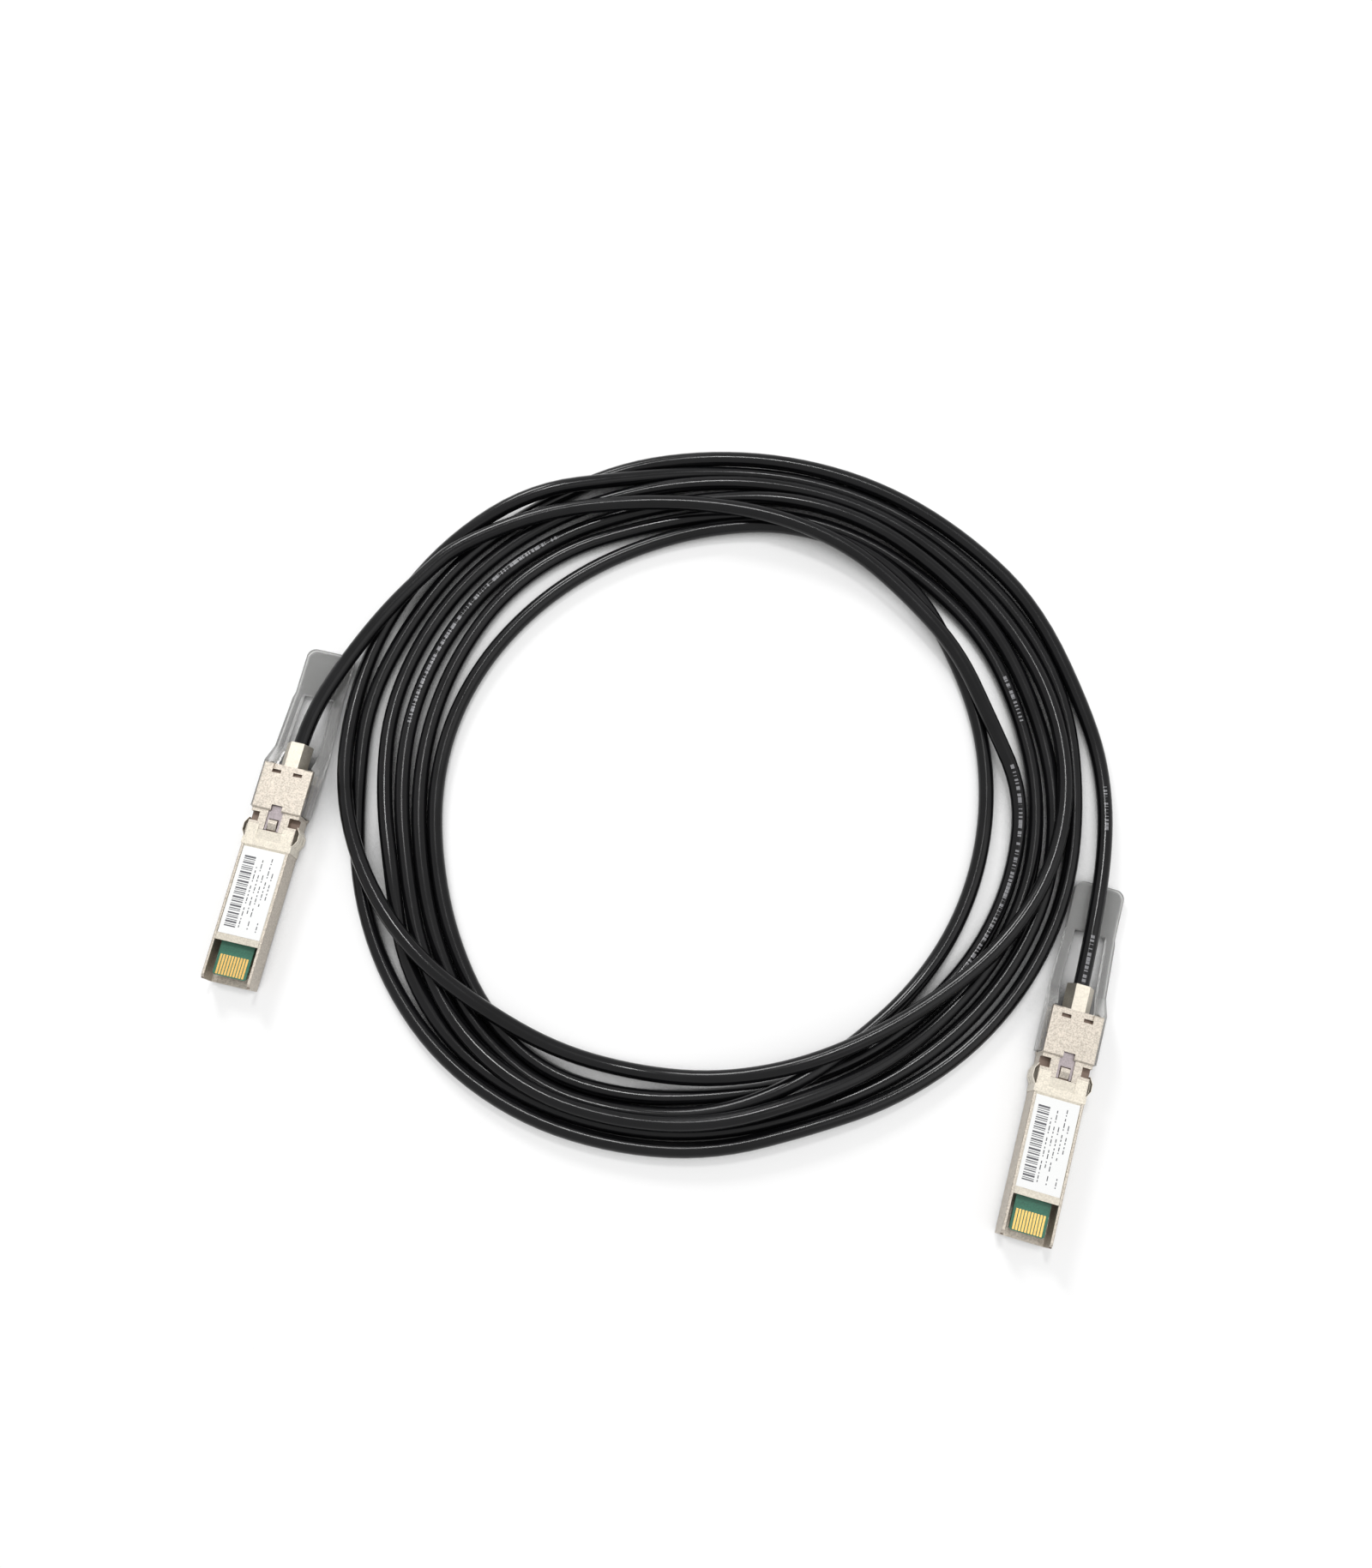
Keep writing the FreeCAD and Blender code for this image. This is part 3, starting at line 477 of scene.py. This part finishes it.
def paint_recess_shade(material):
    """Paint shade on the floors of the casting's slots and corner cut-outs: upward faces between
    two heights are darkened.
    """
    tree = material.node_tree
    shader = tree.nodes["Principled BSDF"]
    surface = tree.nodes.new("ShaderNodeNewGeometry")
    facing = tree.nodes.new("ShaderNodeSeparateXYZ")
    tree.links.new(surface.outputs["True Normal"], facing.inputs[0])
    place = tree.nodes.new("ShaderNodeTexCoord")
    height = tree.nodes.new("ShaderNodeSeparateXYZ")
    tree.links.new(place.outputs["Object"], height.inputs[0])
    upward = calculate(tree, "GREATER_THAN", facing.outputs[2], 0.5)
    above = calculate(tree, "GREATER_THAN", height.outputs[2], RECESS_LOW)
    below = calculate(tree, "LESS_THAN", height.outputs[2], RECESS_HIGH)
    inside = calculate(tree, "MULTIPLY", calculate(tree, "MULTIPLY", above, below), upward)
    plain = shader.inputs["Base Color"].links[0].from_socket
    # painted shade: the recess floors take the dark tone
    tone = blend_colours(tree, "MIX", inside, plain, RECESS_SHADE_TONE)
    tree.links.new(tone, shader.inputs["Base Color"])


class COPPERCABLE_OT_finish_housings(bpy.types.Operator):
    """Plate the castings, covers, collars and ferrules"""

    bl_idname = "coppercable.finish_housings"
    bl_label = "Finish Housings"

    def execute(self, context):
        settings = context.scene.plug_settings
        casting = metal("plated_casting", settings.casting,
                        rough=0.40, grain=5200.0, relief=0.5, speckle=0.30)
        # painted shade on the floors of the casting's slots and cut-outs
        paint_recess_shade(casting)
        cover = metal("stamped_cover", shade(settings.sheet, 1.02),
                      rough=0.34, grain=6500.0, relief=0.3, speckle=0.16)
        collar = metal("nickel_collar", shade(settings.sheet, 1.16),
                       rough=0.32, grain=7000.0, relief=0.3, speckle=0.18)
        ferrule = metal("crimped_ferrule", shade(settings.sheet, 1.14),
                        rough=0.34, grain=4200.0, relief=0.4, speckle=0.12)
        for side in SIDES:
            finish_node(side + "_shell", casting)
            finish_node(side + "_latch_cover", cover)
            finish_node(side + "_ground_spring", collar)
            finish_node(side + "_crimp_ferrule", ferrule)
        return {"FINISHED"}


GOLD = (0.86, 0.55, 0.18, 1.0)
EPOXY = (0.02, 0.02, 0.022, 1.0)
CERAMIC = (0.42, 0.30, 0.19, 1.0)
FOIL = (0.72, 0.73, 0.75, 1.0)
TIN = (0.75, 0.74, 0.70, 1.0)


class COPPERCABLE_OT_finish_electronics(bpy.types.Operator):
    """Finish the circuit cards and what is soldered to them"""

    bl_idname = "coppercable.finish_electronics"
    bl_label = "Finish Electronics"

    def execute(self, context):
        settings = context.scene.plug_settings
        board = plain_solid("solder_mask", settings.board,
                            rough=0.35, grain=2600.0, relief=0.1, contrast=0.25)
        gold = metal("contact_gold", GOLD, rough=0.24, grain=6000.0, relief=0.1)
        epoxy = plain_solid("chip_epoxy", EPOXY, rough=0.55, grain=9000.0, relief=0.3)
        ceramic = plain_solid("capacitor_ceramic", CERAMIC, rough=0.45, grain=7000.0, relief=0.1)
        foil = metal("pair_foil", FOIL, rough=0.28, grain=2600.0, relief=0.9)
        tin = metal("tinned_wire", TIN, rough=0.25, grain=6000.0, relief=0.1)
        for side in SIDES:
            finish_node(side + "_paddle_card", board)
            finish_node(side + "_contact_pads", gold)
            finish_node(side + "_memory_chip", epoxy)
            finish_node(side + "_capacitors", ceramic)
            finish_node(side + "_send_pair", foil)
            finish_node(side + "_receive_pair", foil)
            finish_node(side + "_conductor_ends", tin)
        return {"FINISHED"}


SLIDE_TONE = (0.33, 0.29, 0.30, 1.0)
WIRE_TONE = (0.62, 0.62, 0.60, 1.0)
TAB_GRAIN = 1500.0


def tab_material(settings):
    """Clear grey moulding with a soft surface."""
    material, tree, shader, place = new_material("tab_moulding")
    fine = noise(tree, place, TAB_GRAIN)
    tone = ramp(tree, fine, [(NOISE_LOW, shade(settings.tab, 0.94)),
                             (NOISE_HIGH, shade(settings.tab, 1.06))])
    tree.links.new(tone, shader.inputs["Base Color"])
    tree.links.new(spread(tree, fine, 0.14, 0.24), shader.inputs["Roughness"])
    shader.inputs["Transmission Weight"].default_value = 0.82
    shader.inputs["IOR"].default_value = 1.45
    bump(tree, shader, fine, 0.15, PLASTIC_RELIEF)
    return material


def make_springs(side, material):
    """The two return springs as one piece, with their doubled points merged."""
    shape = bmesh.new()
    shape.from_mesh(frame["nodes"][side + "_return_springs"].data)
    bmesh.ops.remove_doubles(shape, verts=shape.verts, dist=0.001 * MM)
    springs = mesh_piece(side + "_sprung_coils", shape, ROOT, material)
    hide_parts(side + "_return_springs")
    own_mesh(springs)


class COPPERCABLE_OT_finish_releases(bpy.types.Operator):
    """Finish the slides, their springs and the pull tabs"""

    bl_idname = "coppercable.finish_releases"
    bl_label = "Finish Releases"

    def execute(self, context):
        settings = context.scene.plug_settings
        sheet = metal("slide_steel", SLIDE_TONE,
                      rough=0.36, grain=6000.0, relief=0.3, speckle=0.15)
        wire = metal("spring_wire", WIRE_TONE, rough=0.28, grain=6000.0, relief=0.1)
        tab = tab_material(settings)
        for side in SIDES:
            finish_node(side + "_delatch_slide", sheet)
            make_springs(side, wire)
            finish_node(side + "_pull_tab", tab)
        return {"FINISHED"}


# the label's printing in plug millimetres: a column of bars, and rows of dashes beside it, each
# row with its place across and its two ends
LABEL_TOP = 9.02
PRINT_THICKNESS = 0.012
BARS_START = 14.7
BARS_END = 34.6
BARS_LOW = 1.6
BARS_HIGH = 4.7
BAR_WIDTHS = (0.34, 0.18, 0.5, 0.22, 0.3, 0.18, 0.42, 0.2, 0.26, 0.5, 0.18)
BAR_GAPS = (0.24, 0.34, 0.22, 0.42, 0.26, 0.3, 0.5)
DASH_ROWS = ((0.75, 15.0, 31.5), (-0.45, 19.0, 33.6), (-1.65, 14.9, 16.6), (-1.65, 18.4, 30.2),
             (-2.85, 21.5, 33.9), (-4.05, 14.6, 17.4), (-4.05, 23.5, 31.0))
DASH_WIDTHS = (0.55, 0.9, 0.4, 1.3, 0.7, 0.35, 1.0, 0.5)
DASH_GAPS = (0.32, 0.4, 0.6, 0.34, 1.1)
DASH_HALF = 0.13
LABEL_INK = (0.09, 0.09, 0.10, 1.0)


def print_row(shape, ends, sides, widths, gaps, index=0):
    """A row of thin printed bars in plug coordinates, with widths and gaps taken in turn."""
    low, high = sides
    place = ends[0]
    while place < ends[1]:
        width = widths[index % len(widths)]
        corners = bmesh.ops.create_cube(shape, size=1.0)["verts"]
        middle = (place + width / 2, (low + high) / 2, LABEL_TOP + PRINT_THICKNESS / 2)
        bmesh.ops.scale(shape, vec=(width, high - low, PRINT_THICKNESS), verts=corners)
        bmesh.ops.translate(shape, vec=middle, verts=corners)
        place += width + gaps[index % len(gaps)]
        index += 1


class COPPERCABLE_OT_print_labels(bpy.types.Operator):
    """Finish the labels and print plain bars and dashes on them"""

    bl_idname = "coppercable.print_labels"
    bl_label = "Print Labels"

    def execute(self, context):
        settings = context.scene.plug_settings
        paper = plain_solid("label_paper", settings.label,
                            rough=0.42, grain=5000.0, relief=0.15, contrast=0.03)
        ink = plain_solid("label_ink", LABEL_INK, rough=0.5, grain=5000.0, relief=0.05)
        for side in SIDES:
            finish_node(side + "_label", paper)
            shape = bmesh.new()
            print_row(shape, (BARS_START, BARS_END), (BARS_LOW, BARS_HIGH), BAR_WIDTHS, BAR_GAPS)
            for row, (across, start, end) in enumerate(DASH_ROWS):
                print_row(shape, (start, end), (across - DASH_HALF, across + DASH_HALF),
                          DASH_WIDTHS, DASH_GAPS, index=row)
            printing = mesh_piece(side + "_label_print", shape, ROOT, ink)
            printing.data.transform(PLUGS[side])
        return {"FINISHED"}


# ---------------------------------------------------------------- stage
def seen_directly(tree):
    """1 where a ray comes from the camera, a reflection or through clear plastic, else 0."""
    path = tree.nodes.new("ShaderNodeLightPath").outputs
    either = calculate(tree, "MAXIMUM", path["Is Camera Ray"], path["Is Glossy Ray"])
    return calculate(tree, "MAXIMUM", either, path["Is Transmission Ray"])


def mix_shaders(tree, share, first, second):
    """Two shaders mixed by a socket."""
    mix = tree.nodes.new("ShaderNodeMixShader")
    tree.links.new(share, mix.inputs["Fac"])
    tree.links.new(first.outputs[0], mix.inputs[1])
    tree.links.new(second.outputs[0], mix.inputs[2])
    return mix


FLOOR_SIZE = 12.0
FLOOR_DROP = 0.0002
FLOOR_ROUGHNESS = 0.9

# painted shade darkens the floor in the gaps between strands: how far off it looks for them, and
# how open a place is where the painted shade is darkest and where the floor is plain
GAP_REACH = 0.012
GAP_SAMPLES = 6
GAP_DARK = 0.22
GAP_PLAIN = 0.50
GAP_SHADE_TONE = (0.02, 0.02, 0.02, 1.0)

# distances from the object between which the floor fades into the white surroundings
FADE_NEAR = 0.5
FADE_FAR = 1.1


def floor_material(settings):
    """Matt white floor; seen directly it shows nearly white, with the object's soft shadow kept and
    painted shade in the narrow gaps between strands.
    """
    material, tree, shader, place = new_material("studio_floor")
    shader.inputs["Base Color"].default_value = settings.floor
    shader.inputs["Roughness"].default_value = FLOOR_ROUGHNESS
    shown = tree.nodes.new("ShaderNodeBsdfPrincipled")
    shown.inputs["Roughness"].default_value = FLOOR_ROUGHNESS
    shown.inputs["Emission Color"].default_value = WHITE
    openness = tree.nodes.new("ShaderNodeAmbientOcclusion")
    openness.samples = GAP_SAMPLES
    openness.inputs["Distance"].default_value = GAP_REACH
    # painted shade: the floor's colour and glow fall to dark where little is open round it
    for name, dark, plain in (
            ("Base Color", GAP_SHADE_TONE, shade(settings.floor, 1 - settings.floor_lift)),
            ("Emission Strength", BLACK, shade(WHITE, settings.floor_lift))):
        tone = ramp(tree, openness.outputs["AO"], [(GAP_DARK, dark), (GAP_PLAIN, plain)])
        tree.links.new(tone, shown.inputs[name])
    near = mix_shaders(tree, seen_directly(tree), shader, shown)
    reach = tree.nodes.new("ShaderNodeVectorMath")
    reach.operation = "LENGTH"
    tree.links.new(place, reach.inputs[0])
    fade = tree.nodes.new("ShaderNodeMapRange")
    fade.inputs["From Min"].default_value = FADE_NEAR
    fade.inputs["From Max"].default_value = FADE_FAR
    tree.links.new(reach.outputs["Value"], fade.inputs["Value"])
    path = tree.nodes.new("ShaderNodeLightPath")
    white = tree.nodes.new("ShaderNodeEmission")
    white.inputs["Color"].default_value = WHITE
    share = calculate(tree, "MULTIPLY", fade.outputs["Result"], path.outputs["Is Camera Ray"])
    floor = mix_shaders(tree, share, near, white)
    tree.links.new(floor.outputs[0], tree.nodes["Material Output"].inputs["Surface"])
    return material


# the camera's lens in mm, its place in plan, and the nearest that it sees, in metres
SENSOR_WIDTH = 36.0
LENS_LENGTH = 41.31
CAMERA_PLACE = (0.00466, -0.06332)
CAMERA_NEAR = 0.01

# each lamp's name, place and size in metres, and the setting that holds its power
LAMPS = (
    ("key_lamp", (-0.5, 1.3, 0.95), 0.4, "key_power"),
    ("top_lamp", (0.0, 0.5, 1.2), 0.16, "top_power"),
    ("fill_lamp", (0.9, -0.3, 1.2), 1.2, "fill_power"),
)
LAMPS_AIM = (0.0, 0.03, 0.0)


def set_camera(scene, settings):
    """The camera, looking down on the coil from a little in front of it."""
    lens = bpy.data.cameras.new("camera")
    lens.sensor_fit = "HORIZONTAL"
    lens.sensor_width = SENSOR_WIDTH
    lens.lens = LENS_LENGTH
    lens.clip_start = CAMERA_NEAR
    camera = bpy.data.objects.new("camera", lens)
    camera.location = (*CAMERA_PLACE, settings.camera_height)
    camera.rotation_euler = (settings.camera_tilt, 0, 0)
    scene.collection.objects.link(camera)
    scene.camera = camera


def set_floor(scene, settings):
    """The floor, just under the object."""
    shape = bmesh.new()
    bmesh.ops.create_grid(shape, x_segments=1, y_segments=1, size=FLOOR_SIZE)
    mesh = bpy.data.meshes.new("floor")
    shape.to_mesh(mesh)
    shape.free()
    floor = bpy.data.objects.new("floor", mesh)
    floor.location = (0, 0, -FLOOR_DROP)
    mesh.materials.append(floor_material(settings))
    scene.collection.objects.link(floor)


def set_lamps(scene, settings):
    """The square lamps, all turned to the coil."""
    for name, spot, size, power in LAMPS:
        light = bpy.data.lights.new(name, "AREA")
        light.shape = "SQUARE"
        light.size = size
        light.energy = getattr(settings, power)
        lamp = bpy.data.objects.new(name, light)
        lamp.location = spot
        aim = Vector(LAMPS_AIM) - Vector(spot)
        lamp.rotation_euler = aim.to_track_quat("-Z", "Y").to_euler()
        scene.collection.objects.link(lamp)


def set_surroundings(scene, settings):
    """Plain light from all round, which shows as white where it is seen directly."""
    world = bpy.data.worlds.new("studio")
    scene.world = world
    world.use_nodes = True
    tree = world.node_tree
    sky = tree.nodes["Background"]
    sky.inputs["Color"].default_value = WHITE
    sky.inputs["Strength"].default_value = settings.surroundings
    white = tree.nodes.new("ShaderNodeBackground")
    white.inputs["Color"].default_value = WHITE
    white.inputs["Strength"].default_value = 1.0
    mix = mix_shaders(tree, seen_directly(tree), sky, white)
    tree.links.new(mix.outputs[0], tree.nodes["World Output"].inputs["Surface"])


class COPPERCABLE_OT_set_stage(bpy.types.Operator):
    """Set the floor, the lamps, the surroundings and the camera"""

    bl_idname = "coppercable.set_stage"
    bl_label = "Set Stage"

    def execute(self, context):
        scene = context.scene
        settings = scene.stage_settings
        scene.view_settings.view_transform = "Standard"
        set_camera(scene, settings)
        set_floor(scene, settings)
        set_lamps(scene, settings)
        set_surroundings(scene, settings)
        return {"FINISHED"}


class COPPERCABLE_PT_pieces(bpy.types.Panel):
    """Lists the pieces of the cable"""
    # Shows the cable's settings and the buttons that build it

    bl_idname = "COPPERCABLE_PT_pieces"
    bl_label = "Copper Cable"
    bl_space_type = "VIEW_3D"
    bl_region_type = "UI"
    bl_category = "Copper Cable"

    def draw(self, context):
        scene = context.scene
        for group in (scene.cable_settings, scene.plug_settings, scene.stage_settings):
            box = self.layout.box()
            for name in group.__annotations__:
                box.prop(group, name)
        for operator in OPERATORS:
            self.layout.operator(operator.bl_idname)


OPERATORS = (
    COPPERCABLE_OT_set_stage,
    COPPERCABLE_OT_lay_cable,
    COPPERCABLE_OT_finish_housings,
    COPPERCABLE_OT_finish_electronics,
    COPPERCABLE_OT_finish_releases,
    COPPERCABLE_OT_print_labels,
)
SETTINGS = (
    ("cable_settings", CableSettings),
    ("plug_settings", PlugSettings),
    ("stage_settings", StageSettings),
)


def register():
    for name, group in SETTINGS:
        bpy.utils.register_class(group)
        setattr(bpy.types.Scene, name, bpy.props.PointerProperty(type=group))
    for operator in OPERATORS:
        bpy.utils.register_class(operator)
    bpy.utils.register_class(COPPERCABLE_PT_pieces)


def unregister():
    bpy.utils.unregister_class(COPPERCABLE_PT_pieces)
    for operator in reversed(OPERATORS):
        bpy.utils.unregister_class(operator)
    for name, group in reversed(SETTINGS):
        delattr(bpy.types.Scene, name)
        bpy.utils.unregister_class(group)


def main():
    register()
    bpy.ops.coppercable.set_stage()
    bpy.ops.coppercable.lay_cable()
    bpy.ops.coppercable.finish_housings()
    bpy.ops.coppercable.finish_electronics()
    bpy.ops.coppercable.finish_releases()
    bpy.ops.coppercable.print_labels()


if __name__ == "__main__":
    main()
